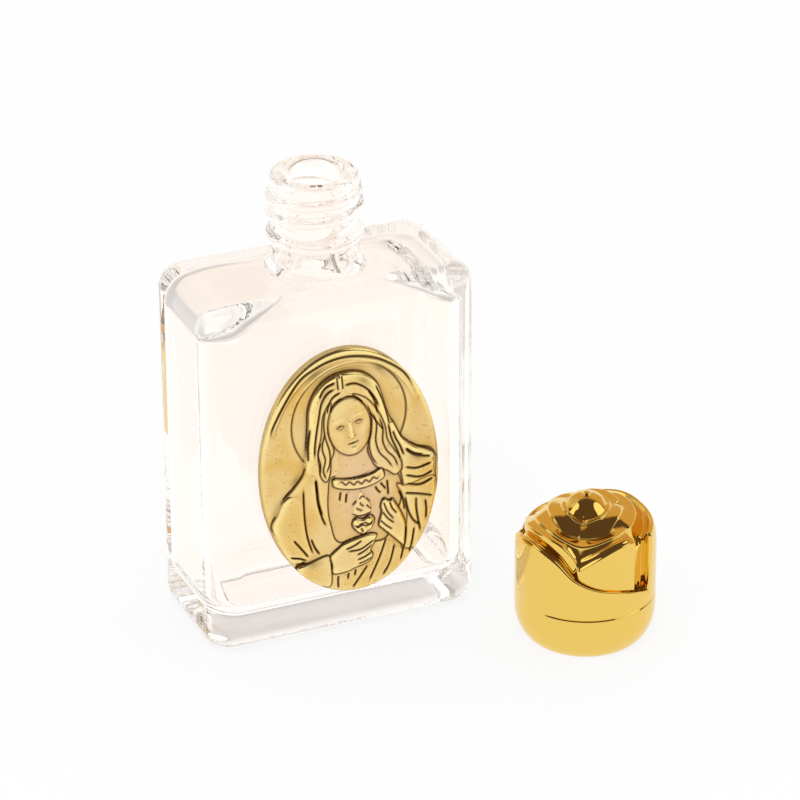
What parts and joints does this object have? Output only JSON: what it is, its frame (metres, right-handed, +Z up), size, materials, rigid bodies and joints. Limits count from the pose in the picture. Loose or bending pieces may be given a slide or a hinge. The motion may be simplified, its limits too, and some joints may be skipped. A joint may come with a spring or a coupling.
{
  "type": "holy water bottle",
  "caption": "Flat clear glass bottle with a threaded neck, an oval gold relief medallion on its front and a rose-shaped gold screw cap standing beside it.",
  "frame": {"origin": "middle of the glass base, on the plane that the bottle stands on", "axes": "+Z up along the neck, front with the medallion to -Y, +X to the right seen from the front"},
  "size_m": [0.0785, 0.057, 0.0858],
  "materials": {
    "clear_glass": "clear moulded soda-lime glass",
    "antique_gold": "cast relief with dark patina in its grooves",
    "clear_adhesive": "cured clear glue",
    "metallised_gold": "mirror-bright vacuum-metallised gold",
    "white_plastic": "plain moulded polypropylene",
    "foam_wad": "closed-cell foam sheet"
  },
  "bodies": {
    "bottle": {"glass_bottle": "clear_glass", "medallion": "antique_gold", "adhesive_pad": "clear_adhesive"},
    "seal": {"seal_disc": "foam_wad"},
    "cap": {"cap_shell": "metallised_gold", "cap_liner": "white_plastic"}
  },
  "joints": [
    {"name": "cap_lift", "type": "slide", "parent": "bottle", "child": "seal", "axis": [0, 0, 1], "range_m": [0, 0.095]},
    {"name": "cap_turn", "type": "hinge", "parent": "seal", "child": "cap", "pos_m": [0.0394, -0.03045, 0], "axis": [0, 0, 1], "continuous": true}
  ]
}
